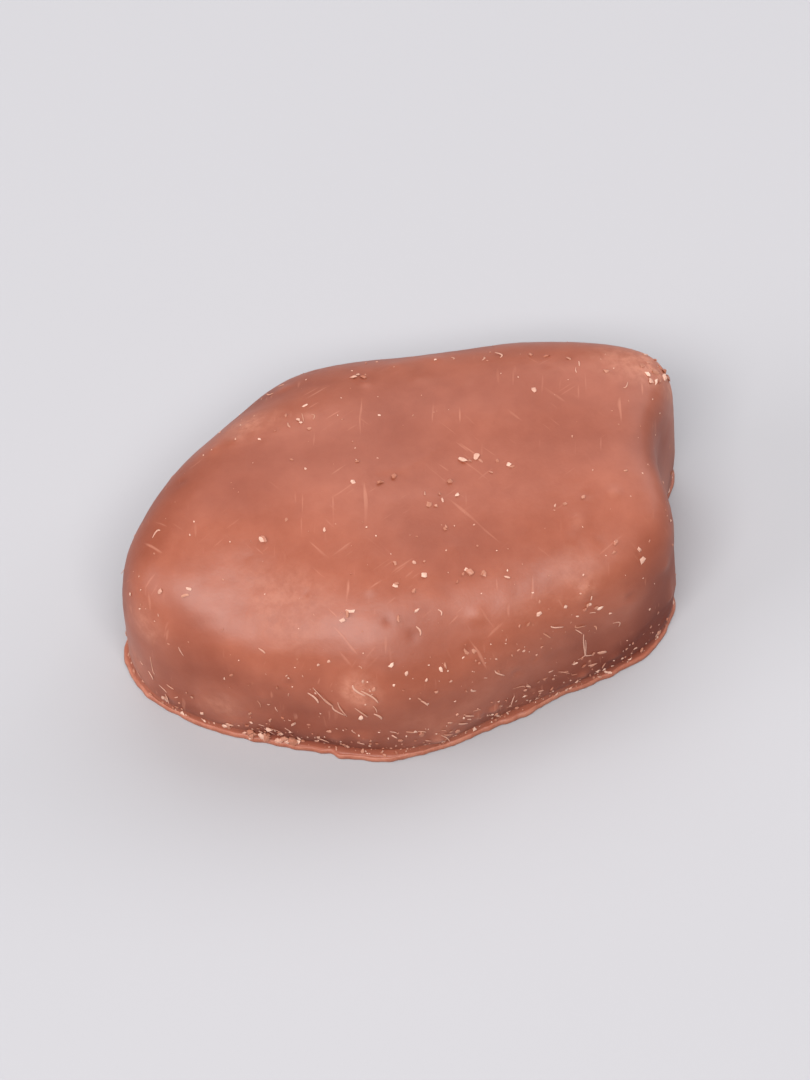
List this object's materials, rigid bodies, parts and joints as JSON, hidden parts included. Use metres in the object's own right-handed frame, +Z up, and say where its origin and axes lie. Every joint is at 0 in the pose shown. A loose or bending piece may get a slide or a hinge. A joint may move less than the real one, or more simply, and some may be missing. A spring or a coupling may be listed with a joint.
{
  "type": "chocolate coated pecan",
  "caption": "Pecan half coated whole in milk chocolate: a soft domed oblong with a shallow notch at one end and a thin flat foot.",
  "frame": {"origin": "middle of the flat underside, on the surface it rests on", "axes": "+X along the nut towards the notched end, +Y to its far flank, +Z up through the crown"},
  "size_m": [0.034, 0.024, 0.0118],
  "materials": {
    "milk_chocolate": "milk chocolate set to a soft satin shine, with fine crumbs and rub marks"
  },
  "bodies": {
    "root": {"coated_pecan": "milk_chocolate"}
  },
  "joints": []
}
